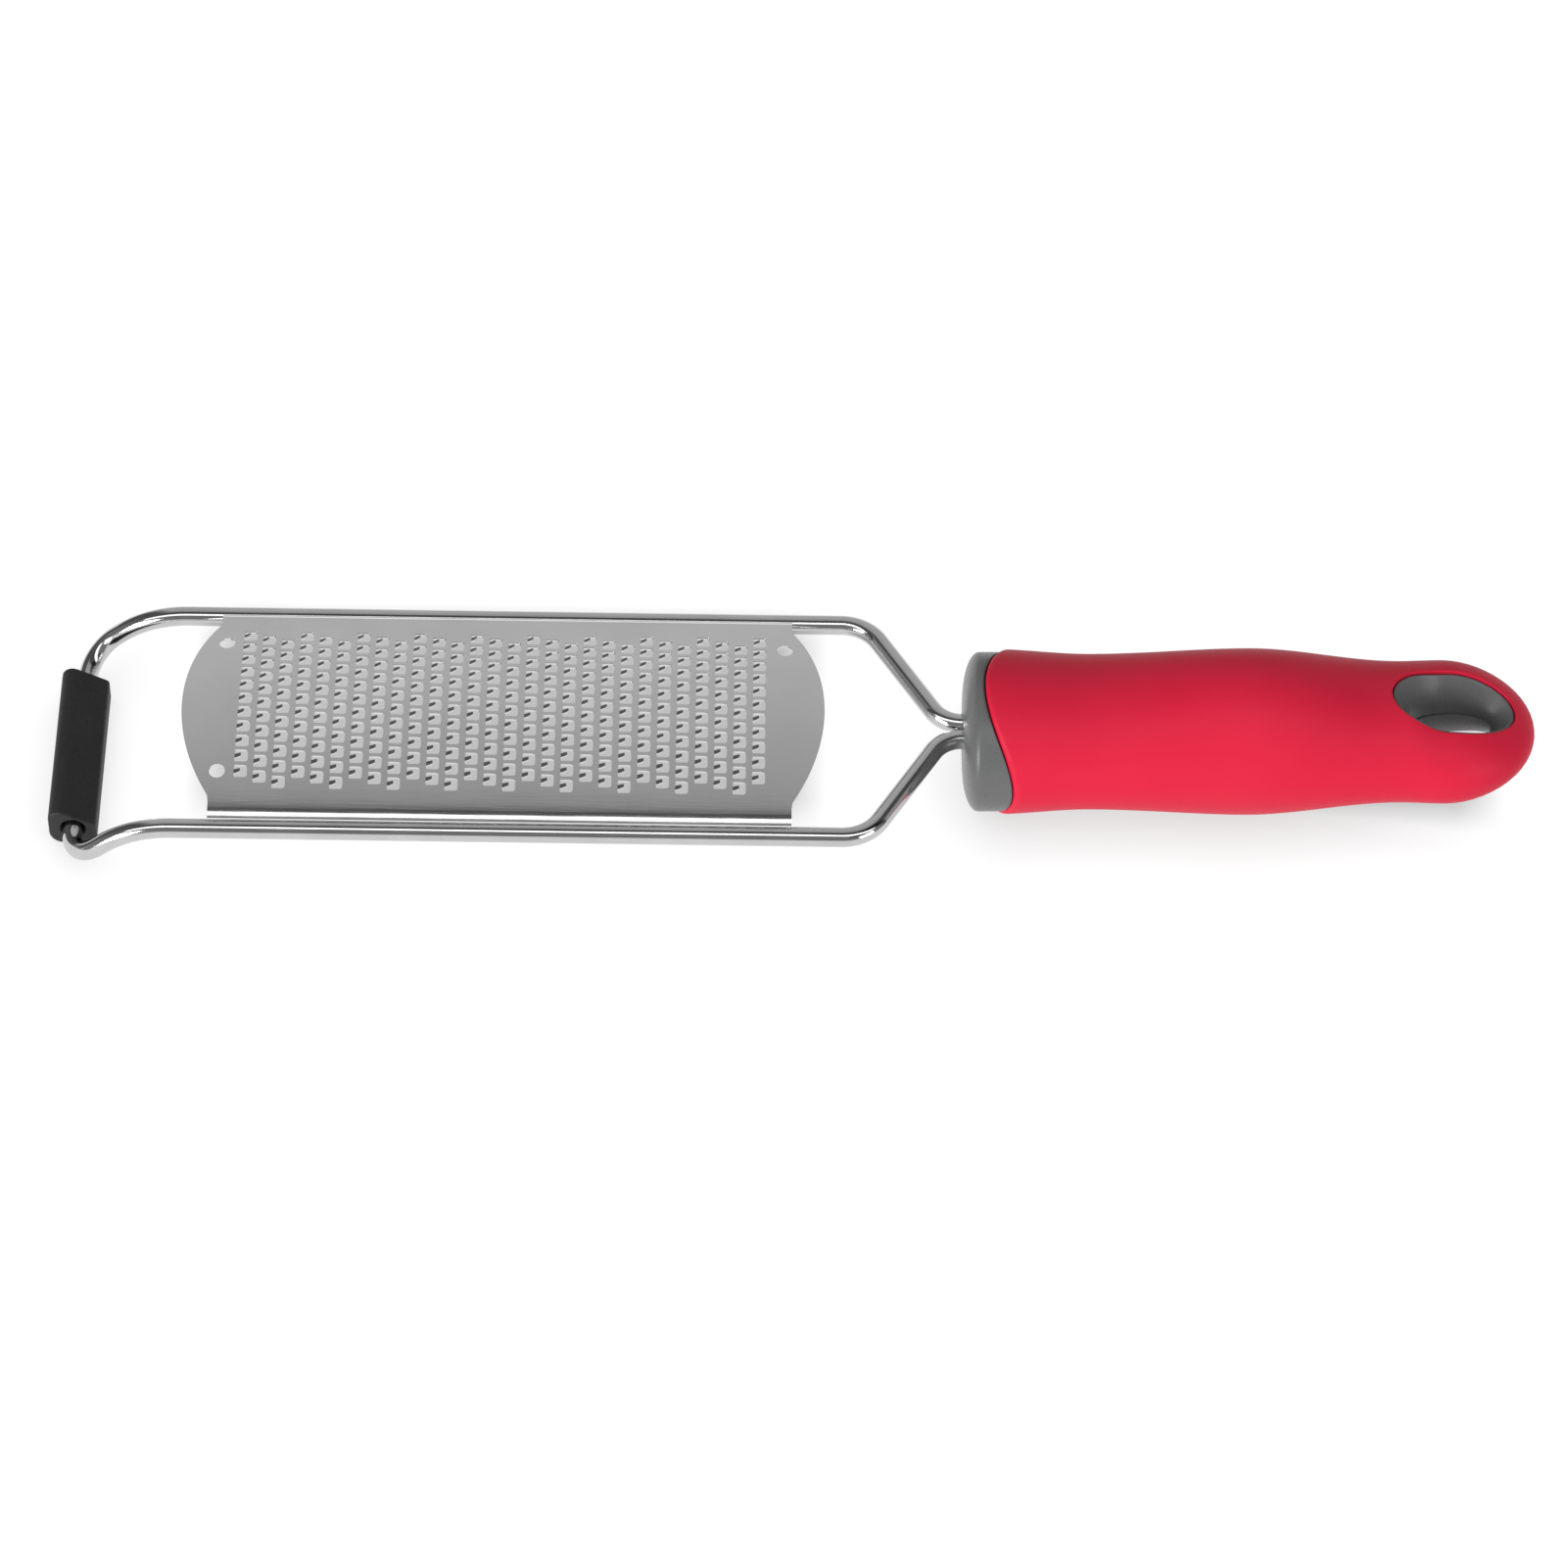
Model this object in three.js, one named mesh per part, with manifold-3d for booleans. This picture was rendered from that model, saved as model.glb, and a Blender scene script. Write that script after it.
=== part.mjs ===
// Hand-held cheese grater: an arched, toothed steel plate between the rails of one bent rod,
// a rubber foot on the rod's crossbar, and a handle of a rigid core inside a soft grip.
// Millimetres, +Z up. The tool lies on its foot and its handle, tip towards -X.
import * as THREE from "three";
import { mergeVertices } from "three/addons/utils/BufferGeometryUtils.js";
import Module from "manifold-3d";

const wasm = await Module();
wasm.setup();

// Clearances between pieces that seat on each other
const seatGap = 0.25; // rod in a bore, plate lip beside the rod
const skinGap = 0.3; // soft grip over the handle core

// Grating plate, measured on its flat pattern before it is folded
const sheetThickness = 0.4;
const plateLength = 116.2; // straight sides
const plateEndBow = 6.5; // how far each rounded end stands out
const archRadius = 105;
const foldRadius = 1.1; // outer radius of the fold between arch and lip
const lipDepth = 2.4; // straight part of the lip, down to the height of the rod's axis
const cornerStep = 3.2; // straight end left between the rounded end and the fold
const pilotHoleDiameter = 3.2;
const pilotHoleInset = 1.5; // hole centre behind the straight end, along X
const pilotHoleReach = 17; // hole centre from the middle of the plate

// Teeth: a tongue raised inside a U-shaped opening
const rowCount = 11;
const columnPitch = 3.83;
const columnMargin = 6.3; // least distance from the straight end to the middle of a column
const rowPitch = 3.635;
const staggerCount = 3; // neighbouring columns step by a third of the row pitch
const openingLength = 2.55;
const openingWidth = 2.75;
const tongueLength = 1.25;
const tongueWidth = 0.9;
const tongueRise = 0.55;
const toothMargin = 5.9; // outermost tooth centre to the fold
const toothShift = -0.45; // middle of the tooth block from the middle of the plate

// Rod frame
const rodDiameter = 4;
const rodSides = 8;
const footGap = 17.1; // rounded plate end to the back of the foot
const neckGap = 28; // rounded plate end to the handle's front face
const legRun = 13.1; // length along X in which the legs drop to the crossbar
const legBend = 21;
const footBend = 7.6;
const shoulderBend = 9;
const neckBend = 7;
const neckStub = 4; // straight rod in front of the handle
const splayRun = 15.4; // length along X of the slanting stretch
const tangLength = 60; // rod inside the handle

// Rubber foot, a bar along the crossbar
const footLength = 38.8;
const footFront = 4.9; // crossbar axis to the front face
const footBack = 4.6; // crossbar axis to the back face
const footRise = 6.4; // crossbar axis to the top edge at the front
const footBackRise = 1; // crossbar axis to the top edge at the back
const soleDepth = 4.7; // crossbar axis to the sole
const footRound = 1.2;
const soleRound = 3.2;
const footRecess = 1.6; // depth of the funnel round the rod at each end
const footRecessDiameter = 5.8;

// Handle
const handleLength = 115.4;
const handleRise = 2.5; // how far the tail end of the handle's axis stands above the front
const ridgeWidth = 35.6;
const ridgeHeight = 30.2;
const waistWidth = 33.6;
const waistHeight = 28.2;
const bellyWidth = 33.3;
const bellyHeight = 34.2;
const neckWidth = 31.5;
const neckHeight = 23.3;
const tailWidth = 34;
const tailHeight = 19.4;
const endHeight = 15; // before the end is rounded off
const noseLength = 18.5; // rounded end of the handle
const gripThickness = 2.4;
const collarStepDown = 0.6; // collar surface below the grip surface
const collarLength = 4.1; // collar in front of the grip, on the centre line
const collarSweep = 6.6; // how much longer the collar is at its sides
const collarRound = 3.2; // rounded front edge, along X
const collarCrown = 6.5; // rounded front edge, across X
const hangHoleLength = 22.8;
const hangHoleWidth = 13.6;
const hangHoleFromEnd = 16.7;
const hangHoleDraft = 2.5; // how much the hole narrows to its middle, each side
const linerWall = 0.7;
const linerSink = 0.35; // liner rim below the grip surface

// As many columns as the plate's straight length holds
const columnCount = 1 + Math.floor((plateLength - 2 * columnMargin) / columnPitch);

// Places along X, from the middle of the plate
const rodRadius = rodDiameter / 2;
const plateReach = plateLength / 2 + plateEndBow;
const crossbarX = -(plateReach + footGap + footBack);
const tipX = crossbarX - footFront;
const handleFrontX = plateReach + neckGap;
const tailX = handleFrontX + handleLength;
const middleX = (tipX + tailX) / 2;

// Half width and half height of the handle along its length, by stations that a smooth curve joins
const handleStations = [
  { at: 0, width: ridgeWidth, height: ridgeHeight },
  { at: 0.05, width: ridgeWidth, height: ridgeHeight },
  { at: 0.22, width: waistWidth, height: waistHeight },
  { at: 0.5, width: bellyWidth, height: bellyHeight },
  { at: 0.765, width: neckWidth, height: neckHeight },
  { at: 0.84, width: tailWidth, height: tailHeight },
  { at: 1, width: tailWidth, height: endHeight },
];

function easedStation(key, share) {
  const next = Math.max(1, handleStations.findIndex((s) => s.at >= share));
  const a = handleStations[next - 1];
  const b = handleStations[next];
  const u = THREE.MathUtils.smoothstep(share, a.at, b.at);
  return THREE.MathUtils.lerp(a[key], b[key], u);
}

// Share of the full section that is left at a point of the rounded tail
function noseShare(x, endX) {
  const u = Math.max(0, (x - (endX - noseLength)) / noseLength);
  return Math.sqrt(Math.max(0, 1 - u * u));
}

const axisLift = (x) => (handleRise * (x - handleFrontX)) / handleLength;

// Section of the handle at x, drawn in by inset all round
function handleSection(x, inset) {
  const share = THREE.MathUtils.clamp((x - handleFrontX) / handleLength, 0, 1);
  const nose = noseShare(x, tailX - inset);
  return {
    x,
    halfWidth: (easedStation("width", share) / 2 - inset) * nose,
    halfHeight: (easedStation("height", share) / 2 - inset) * nose,
    lift: axisLift(x),
  };
}

// The rails stand as high as the handle's lowest section needs to rest on the table
const restStations = Array.from({ length: 201 }, (_, i) => handleFrontX + (handleLength * i) / 200);
const railZ = Math.max(
  ...restStations.map((x) => handleSection(x, 0)).map((s) => s.halfHeight - s.lift),
);
const crossbarZ = soleDepth;

// Solids: geometry in and out of the boolean library
function toSolid(geometry) {
  const bare = geometry.clone();
  bare.deleteAttribute("normal");
  bare.deleteAttribute("uv");
  const merged = mergeVertices(bare, 1e-4);
  return new wasm.Manifold(
    new wasm.Mesh({
      numProp: 3,
      vertProperties: new Float32Array(merged.attributes.position.array),
      triVerts: new Uint32Array(merged.index.array),
    }),
  );
}

function toGeometry(solid) {
  const mesh = solid.getMesh();
  const geometry = new THREE.BufferGeometry();
  geometry.setAttribute("position", new THREE.BufferAttribute(mesh.vertProperties, 3));
  geometry.setIndex(new THREE.BufferAttribute(mesh.triVerts, 1));
  geometry.computeVertexNormals();
  return geometry;
}

function geometryOf(points, triangles) {
  const geometry = new THREE.BufferGeometry();
  const numbers = points.flatMap((p) => p.toArray());
  geometry.setAttribute("position", new THREE.Float32BufferAttribute(numbers, 3));
  geometry.setIndex(triangles.flat());
  geometry.computeVertexNormals();
  return geometry;
}

// Rod: rings of points carried along a path of straights and round bends
function bentPath(corners) {
  const points = [corners[0].at];
  for (let i = 1; i < corners.length - 1; i++) {
    const { at, bend, steps } = corners[i];
    const before = corners[i - 1].at.clone().sub(at).normalize();
    const after = corners[i + 1].at.clone().sub(at).normalize();
    const halfTurn = (Math.PI - before.angleTo(after)) / 2;
    const reach = bend * Math.tan(halfTurn);
    const bisector = before.clone().add(after).normalize();
    const centre = at.clone().addScaledVector(bisector, bend / Math.cos(halfTurn));
    const spokeIn = at.clone().addScaledVector(before, reach).sub(centre);
    const turnAxis = spokeIn.clone().cross(before).normalize().negate();
    for (let k = 0; k <= steps; k++) {
      const spoke = spokeIn.clone().applyAxisAngle(turnAxis, (2 * halfTurn * k) / steps);
      points.push(centre.clone().add(spoke));
    }
  }
  points.push(corners.at(-1).at);
  return points;
}

function rodAlong(path, radius, sides) {
  const tangents = path.map((p, i) => {
    const back = path[Math.max(0, i - 1)];
    const ahead = path[Math.min(path.length - 1, i + 1)];
    const into = p.clone().sub(back).normalize();
    const outOf = ahead.clone().sub(p).normalize();
    return into.add(outOf).normalize();
  });
  let side = new THREE.Vector3(0, 0, 1).cross(tangents[0]).normalize();
  const points = [];
  path.forEach((p, i) => {
    side = side.clone().addScaledVector(tangents[i], -side.dot(tangents[i])).normalize();
    const other = tangents[i].clone().cross(side);
    for (let k = 0; k < sides; k++) {
      const a = (2 * Math.PI * k) / sides;
      points.push(
        p.clone().addScaledVector(side, radius * Math.cos(a)).addScaledVector(other, radius * Math.sin(a)),
      );
    }
  });
  return geometryOf([...points, path[0], path.at(-1)], ringFaces(path.length, sides));
}

// Faces of a closed body made of rings, whose two end centres follow the ring points
function ringFaces(rings, sides) {
  const faces = [];
  for (let r = 0; r < rings - 1; r++) {
    for (let k = 0; k < sides; k++) {
      const a = r * sides + k;
      const b = r * sides + ((k + 1) % sides);
      faces.push([a, b, b + sides], [a, b + sides, a + sides]);
    }
  }
  const firstCentre = rings * sides;
  const lastRing = (rings - 1) * sides;
  for (let k = 0; k < sides; k++) {
    const next = (k + 1) % sides;
    faces.push([firstCentre, next, k], [firstCentre + 1, lastRing + k, lastRing + next]);
  }
  return faces;
}

// Oval sections along X joined into one body that closes at endX
function loft(sections, endX, sides) {
  const points = sections.flatMap((s) =>
    Array.from({ length: sides }, (_, k) => {
      const a = (2 * Math.PI * k) / sides;
      const z = railZ + s.lift + s.halfHeight * Math.sin(a);
      return new THREE.Vector3(s.x, s.halfWidth * Math.cos(a), z);
    }),
  );
  const centre = (x) => new THREE.Vector3(x, 0, railZ + axisLift(x));
  return geometryOf([...points, centre(sections[0].x), centre(endX)], ringFaces(sections.length, sides));
}

// Flat pattern of the plate and its fold
const railReach = (plateWidth) => plateWidth / 2 + seatGap + rodRadius;
const toothBlock = rowPitch * (rowCount - 1 + (staggerCount - 1) / staggerCount);
const archHalf = toothBlock / 2 + toothMargin; // arc length from the middle to the fold
const archAngle = archHalf / archRadius;
const foldAngle = Math.PI / 2 - archAngle;
const foldLength = foldRadius * foldAngle;
const sheetHalf = archHalf + foldLength + lipDepth;
const foldCentreY = (archRadius - foldRadius) * Math.sin(archAngle);
const foldCentreDrop = archRadius - (archRadius - foldRadius) * Math.cos(archAngle);
const plateWidth = 2 * (foldCentreY + foldRadius);
const railY = railReach(plateWidth);
const crownZ = railZ + foldCentreDrop + lipDepth;

// Point of the folded sheet: x along it, s across it, depth below its outer face
function folded(x, s, depth) {
  const side = Math.sign(s) || 1;
  const across = Math.abs(s);
  if (across <= archHalf) {
    const a = across / archRadius;
    const r = archRadius - depth;
    return new THREE.Vector3(x, side * r * Math.sin(a), crownZ - archRadius + r * Math.cos(a));
  }
  const foldZ = crownZ - foldCentreDrop;
  const r = foldRadius - depth;
  if (across <= archHalf + foldLength) {
    const a = archAngle + (across - archHalf) / foldRadius;
    return new THREE.Vector3(x, side * (foldCentreY + r * Math.sin(a)), foldZ + r * Math.cos(a));
  }
  return new THREE.Vector3(x, side * (foldCentreY + r), foldZ - (across - archHalf - foldLength));
}

// The plate: two faces with the same layout, joined by the walls of the openings and of the rim
function gratingPlate() {
  const points = [];
  const faces = [];
  // Each corner of the layout is a pair of points: outer face first, inner face next
  const corner = (x, s, rise = 0) => {
    points.push(folded(x, s, -rise), folded(x, s, sheetThickness - rise));
    return points.length - 2;
  };
  const flat = new Map();
  const flatCorner = (x, s) => {
    const index = corner(x, s);
    flat.set(index, new THREE.Vector2(x, s));
    return index;
  };
  const panel = (a, b, c) => faces.push([a, b, c], [a + 1, c + 1, b + 1]);
  const wall = (loop) =>
    loop.forEach((a, i) => {
      const b = loop[(i + 1) % loop.length];
      faces.push([a, a + 1, b + 1], [a, b + 1, b]);
    });
  // Fills the strip between two chains that both run from +s to -s, the first on the -X side
  const strip = (left, right) => {
    let i = 0;
    let j = 0;
    while (i < left.length - 1 || j < right.length - 1) {
      const leftNext = i < left.length - 1 ? flat.get(left[i + 1]).y : -Infinity;
      const rightNext = j < right.length - 1 ? flat.get(right[j + 1]).y : -Infinity;
      if (leftNext >= rightNext) panel(left[i], left[++i], right[j]);
      else panel(left[i], right[j + 1], right[j++]);
    }
  };

  const columnX = (c) => (c - (columnCount - 1) / 2) * columnPitch;
  const firstTooth = toothShift + toothBlock / 2;
  const toothS = (c, r) => firstTooth - rowPitch * (r + (c % staggerCount) / staggerCount);
  const columns = Array.from({ length: columnCount }, (_, c) => {
    const leftX = columnX(c) - openingLength / 2;
    const rightX = leftX + openingLength;
    const column = {
      left: [flatCorner(leftX, archHalf)],
      right: [flatCorner(rightX, archHalf)],
    };
    for (let r = 0; r < rowCount; r++) {
      const s = toothS(c, r);
      const outer = openingWidth / 2;
      const tongue = tongueWidth / 2;
      const left = [outer, tongue, -tongue, -outer].map((ds) => flatCorner(leftX, s + ds));
      const right = [outer, -outer].map((ds) => flatCorner(rightX, s + ds));
      const tip = [tongue, -tongue].map((ds) => corner(leftX + tongueLength, s + ds, tongueRise));
      panel(left[1], left[2], tip[1]);
      panel(left[1], tip[1], tip[0]);
      panel(column.left.at(-1), left[0], right[0]);
      panel(column.left.at(-1), right[0], column.right.at(-1));
      wall([right[0], right[1], left[3], left[2], tip[1], tip[0], left[1], left[0]]);
      column.left.push(...left);
      column.right.push(...right);
    }
    const last = [flatCorner(leftX, -archHalf), flatCorner(rightX, -archHalf)];
    panel(column.left.at(-1), last[0], last[1]);
    panel(column.left.at(-1), last[1], column.right.at(-1));
    column.left.push(last[0]);
    column.right.push(last[1]);
    return column;
  });
  for (let c = 0; c < columnCount - 1; c++) strip(columns[c].right, columns[c + 1].left);

  // Rounded ends, with the pilot holes
  const bowHalf = archHalf - cornerStep;
  const bowSteps = 12;
  const bowRadius = (bowHalf ** 2 + plateEndBow ** 2) / (2 * plateEndBow);
  const bowAngle = Math.asin(bowHalf / bowRadius);
  const holeSides = 10;
  const endPanel = (sign, chain, holes) => {
    const bow = Array.from({ length: bowSteps + 1 }, (_, k) => {
      const a = bowAngle * (1 - (2 * k) / bowSteps);
      const out = plateLength / 2 + plateEndBow - bowRadius * (1 - Math.cos(a));
      return flatCorner(sign * out, bowRadius * Math.sin(a));
    });
    const edge = [
      flatCorner((sign * plateLength) / 2, archHalf),
      ...bow,
      flatCorner((sign * plateLength) / 2, -archHalf),
    ];
    const [left, right] = sign > 0 ? [chain, edge] : [edge, chain];
    // Bands across the end, so that no face spans the arch: one round each hole, plain ones between
    const start = { left: 0, right: 0 };
    holes.forEach((s) => {
      const above = (list) => list.findLastIndex((i) => flat.get(i).y >= s + pilotHoleDiameter);
      const below = (list) => list.findIndex((i) => flat.get(i).y <= s - pilotHoleDiameter);
      strip(left.slice(start.left, above(left) + 1), right.slice(start.right, above(right) + 1));
      const x = sign * (plateLength / 2 - pilotHoleInset);
      const loop = Array.from({ length: holeSides }, (_, k) => {
        const a = (-2 * Math.PI * k) / holeSides;
        const r = pilotHoleDiameter / 2;
        return flatCorner(x + r * Math.cos(a), s + r * Math.sin(a));
      });
      const outline = [
        ...left.slice(above(left), below(left) + 1),
        ...right.slice(above(right), below(right) + 1).reverse(),
      ];
      const all = [...outline, ...loop];
      const at = (list) => list.map((i) => flat.get(i));
      THREE.ShapeUtils.triangulateShape(at(outline), [at(loop)]).forEach((corners) => {
        const [a, b, c] = corners.map((i) => all[i]);
        const ab = flat.get(b).clone().sub(flat.get(a));
        const ac = flat.get(c).clone().sub(flat.get(a));
        if (ab.cross(ac) > 0) panel(a, b, c);
        else panel(a, c, b);
      });
      wall(loop);
      start.left = below(left);
      start.right = below(right);
    });
    strip(left.slice(start.left), right.slice(start.right));
    return edge;
  };
  const leftEdge = endPanel(-1, columns[0].left, [pilotHoleReach, -pilotHoleReach]);
  const rightEdge = endPanel(1, columns.at(-1).right, [pilotHoleReach]);

  // Folds and lips: long strips with corners only at their ends
  const foldSteps = 3;
  const lip = (sign) => {
    const pick = (chain) => (sign > 0 ? chain[0] : chain.at(-1));
    const inner = [leftEdge, ...columns.flatMap((c) => [c.left, c.right]), rightEdge].map(pick);
    const across = [
      ...Array.from({ length: foldSteps }, (_, k) => archHalf + (foldLength * (k + 1)) / foldSteps),
      sheetHalf,
    ];
    const ends = across.map((s) => [-1, 1].map((end) => corner((end * plateLength) / 2, sign * s)));
    const lay = (a, b, c) => (sign > 0 ? panel(a, b, c) : panel(a, c, b));
    const [firstLeft, firstRight] = ends[0];
    inner.slice(0, -1).forEach((a, i) => lay(a, inner[i + 1], firstLeft));
    lay(inner.at(-1), firstRight, firstLeft);
    ends.slice(0, -1).forEach(([a, b], k) => {
      const [c, d] = ends[k + 1];
      lay(a, b, c);
      lay(b, d, c);
    });
    return ends;
  };
  const farLip = lip(1);
  const nearLip = lip(-1);
  const rim = [
    ...farLip.map((pair) => pair[0]).reverse(),
    ...leftEdge,
    ...nearLip.map((pair) => pair[0]),
    ...nearLip.map((pair) => pair[1]).reverse(),
    ...[...rightEdge].reverse(),
    ...farLip.map((pair) => pair[1]),
  ];
  wall(rim);
  return geometryOf(points, faces);
}

// The rod: both tangs in the handle, the neck, the rails, the legs and the crossbar in one piece.
// The tangs lie side by side, so that their two bores run into each other.
const tangY = rodRadius + seatGap / 2;
function frameRod() {
  const shoulderX = handleFrontX - neckStub - splayRun;
  const legTopX = crossbarX + legRun;
  const half = (side) => [
    { at: new THREE.Vector3(handleFrontX + tangLength, side * tangY, railZ) },
    { at: new THREE.Vector3(handleFrontX - neckStub, side * tangY, railZ), bend: neckBend, steps: 4 },
    { at: new THREE.Vector3(shoulderX, side * railY, railZ), bend: shoulderBend, steps: 4 },
    { at: new THREE.Vector3(legTopX, side * railY, railZ), bend: legBend, steps: 3 },
    { at: new THREE.Vector3(crossbarX, side * railY, crossbarZ), bend: footBend, steps: 5 },
  ];
  return rodAlong(bentPath([...half(1), ...half(-1).reverse()]), rodRadius, rodSides);
}

// The foot: a bar with a sloping top, bored for the crossbar and funnelled at both ends
function rubberFoot() {
  const corners = [
    { x: -footFront, z: -soleDepth, round: soleRound },
    { x: footBack, z: -soleDepth, round: footRound },
    { x: footBack, z: footBackRise, round: footRound },
    { x: -footFront, z: footRise, round: footRound },
  ];
  const shape = new THREE.Shape();
  const toward = (from, to, reach) => {
    const d = new THREE.Vector2(to.x - from.x, to.z - from.z).setLength(reach);
    return [from.x + d.x, from.z + d.y];
  };
  corners.forEach((c, i) => {
    const before = corners.at(i - 1);
    const after = corners[(i + 1) % corners.length];
    const start = toward(c, before, c.round);
    if (i) shape.lineTo(...start);
    else shape.moveTo(...start);
    shape.quadraticCurveTo(c.x, c.z, ...toward(c, after, c.round));
  });
  const bar = new THREE.ExtrudeGeometry(shape, { depth: footLength, bevelEnabled: false, curveSegments: 4 });
  bar.translate(0, 0, -footLength / 2).rotateX(Math.PI / 2);
  const boreRadius = rodRadius + seatGap;
  const recess = footRecessDiameter / 2;
  const half = footLength / 2;
  const over = 1; // the tool reaches past both ends
  const profile = [
    [0, -half - over],
    [recess, -half - over],
    [recess, -half],
    [boreRadius, -half + footRecess],
    [boreRadius, half - footRecess],
    [recess, half],
    [recess, half + over],
    [0, half + over],
  ].map(([r, y]) => new THREE.Vector2(r, y));
  const bore = new THREE.LatheGeometry(profile, 12);
  return toGeometry(toSolid(bar).subtract(toSolid(bore))).translate(crossbarX, 0, crossbarZ);
}

// Handle tools
const gripSides = 16;
const noseSteps = 5;
// Body of the handle from startX to its tail, with sections at each station and some between them
function handleBody(startX, inset, between) {
  const noseX = tailX - inset - noseLength;
  const quarter = Math.PI / 2 / noseSteps;
  const stations = handleStations.slice(0, -1).flatMap(({ at }, i) => {
    const step = (handleStations[i + 1].at - at) / (between + 1);
    return Array.from({ length: between + 1 }, (_, k) => handleFrontX + handleLength * (at + step * k));
  });
  const body = [startX, ...stations.filter((x) => x > startX && x < noseX)];
  const nose = Array.from({ length: noseSteps }, (_, k) => noseX + noseLength * Math.sin(k * quarter));
  const sections = [...body, ...nose].map((x) => handleSection(x, inset));
  return toSolid(loft(sections, tailX - inset, gripSides));
}

// Everything in front of the grip's swept front edge, moved along X by shift
function collarSide(shift) {
  const far = 3 * bellyWidth;
  const half = ridgeWidth / 2;
  const edgeX = handleFrontX + collarLength + shift;
  const sweepAt = (y) => collarSweep * (y / half) ** 2;
  const shape = new THREE.Shape();
  shape.moveTo(handleFrontX - far, -far);
  shape.lineTo(edgeX + sweepAt(1.2 * half), -far);
  const steps = 16;
  for (let k = 0; k <= steps; k++) {
    const y = 1.2 * half * ((2 * k) / steps - 1);
    shape.lineTo(edgeX + sweepAt(y), y);
  }
  shape.lineTo(edgeX + sweepAt(1.2 * half), far);
  shape.lineTo(handleFrontX - far, far);
  const block = new THREE.ExtrudeGeometry(shape, { depth: 2 * far, bevelEnabled: false });
  return toSolid(block.translate(0, 0, railZ - far));
}

const hangHoleX = tailX - hangHoleFromEnd;
const hangHoleZ = railZ + axisLift(hangHoleX);
// An oval column through the handle at the hang hole, grown all round
function hangColumn(grow) {
  const column = new THREE.CylinderGeometry(1, 1, 4 * tailHeight, 20).rotateX(Math.PI / 2);
  column.scale(hangHoleLength / 2 + grow, hangHoleWidth / 2 + grow, 1);
  return toSolid(column.translate(hangHoleX, 0, hangHoleZ));
}

// The hole itself, widest at both rims
function hangHole() {
  const rim = tailHeight / 2;
  const narrow = 1 - (2 * hangHoleDraft) / hangHoleWidth;
  const profile = [
    [0, -2 * rim],
    [1, -2 * rim],
    [1, -rim],
    [narrow, 0],
    [1, rim],
    [1, 2 * rim],
    [0, 2 * rim],
  ].map(([r, y]) => new THREE.Vector2(r, y));
  const hole = new THREE.LatheGeometry(profile, 20).rotateX(Math.PI / 2);
  hole.scale(hangHoleLength / 2, hangHoleWidth / 2, 1);
  return toSolid(hole.translate(hangHoleX, 0, hangHoleZ));
}

// The soft grip: the handle's skin behind the collar, open round the liner of the hang hole
function softGrip() {
  const outside = handleBody(handleFrontX, 0, 1);
  const inside = handleBody(handleFrontX - 1, gripThickness, 0);
  const skin = outside.subtract(inside).subtract(collarSide(0));
  return toGeometry(skin.subtract(hangColumn(linerWall + skinGap)));
}

// The rigid core: collar, the body inside the grip, the liner of the hang hole and the rod's bores
function handleCore() {
  const roundSteps = 3;
  const collarEnd = collarLength + collarSweep * 1.5;
  const collarSections = [
    ...Array.from({ length: roundSteps }, (_, k) => (k * Math.PI) / 2 / roundSteps).map((a) => ({
      x: handleFrontX + collarRound * (1 - Math.sin(a)),
      inset: collarStepDown + collarCrown * (1 - Math.cos(a)),
    })).reverse(),
    { x: handleFrontX + collarEnd, inset: collarStepDown },
  ];
  const front = { x: handleFrontX, inset: collarStepDown + collarCrown };
  const sections = [front, ...collarSections].map(({ x, inset }) => handleSection(x, inset));
  const cap = toSolid(loft(sections, handleFrontX + collarEnd, gripSides));
  const collar = cap.intersect(collarSide(-skinGap));
  const body = handleBody(handleFrontX + collarRound, gripThickness + skinGap, 0);
  const liner = hangColumn(linerWall).intersect(handleBody(handleFrontX, linerSink, 1));
  const boreLength = tangLength + seatGap;
  const bores = [-1, 1].map((side) => {
    const bore = new THREE.CylinderGeometry(rodRadius + seatGap, rodRadius + seatGap, 2 * boreLength, 12);
    return toSolid(bore.rotateZ(Math.PI / 2).translate(handleFrontX, side * tangY, railZ));
  });
  const whole = collar.add(body).add(liner).subtract(hangHole());
  return toGeometry(bores.reduce((solid, bore) => solid.subtract(bore), whole));
}

// Finishes
function finish(color, roughness, metalness) {
  return new THREE.MeshStandardMaterial({ color, roughness, metalness });
}
const plateSteel = finish(0x9c9c9c, 0.35, 1);
const chromedRod = finish(0xc4c4c6, 0.12, 1);
const blackRubber = finish(0x262626, 0.75, 0);
const greyPlastic = finish(0x6a6c6c, 0.5, 0);
const redSoftTouch = finish(0xc81e38, 0.6, 0);

const grater = new THREE.Group();
const piece = (name, geometry, material) => {
  const mesh = new THREE.Mesh(geometry, material);
  mesh.name = name;
  mesh.position.x = -middleX;
  grater.add(mesh);
};
piece("grating_plate", gratingPlate(), plateSteel);
piece("frame_rod", frameRod(), chromedRod);
piece("tip_foot", rubberFoot(), blackRubber);
piece("handle_core", handleCore(), greyPlastic);
piece("handle_grip", softGrip(), redSoftTouch);

export default grater;
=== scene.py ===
import math

import bpy
import numpy as np
from mathutils import Matrix, Vector


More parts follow.
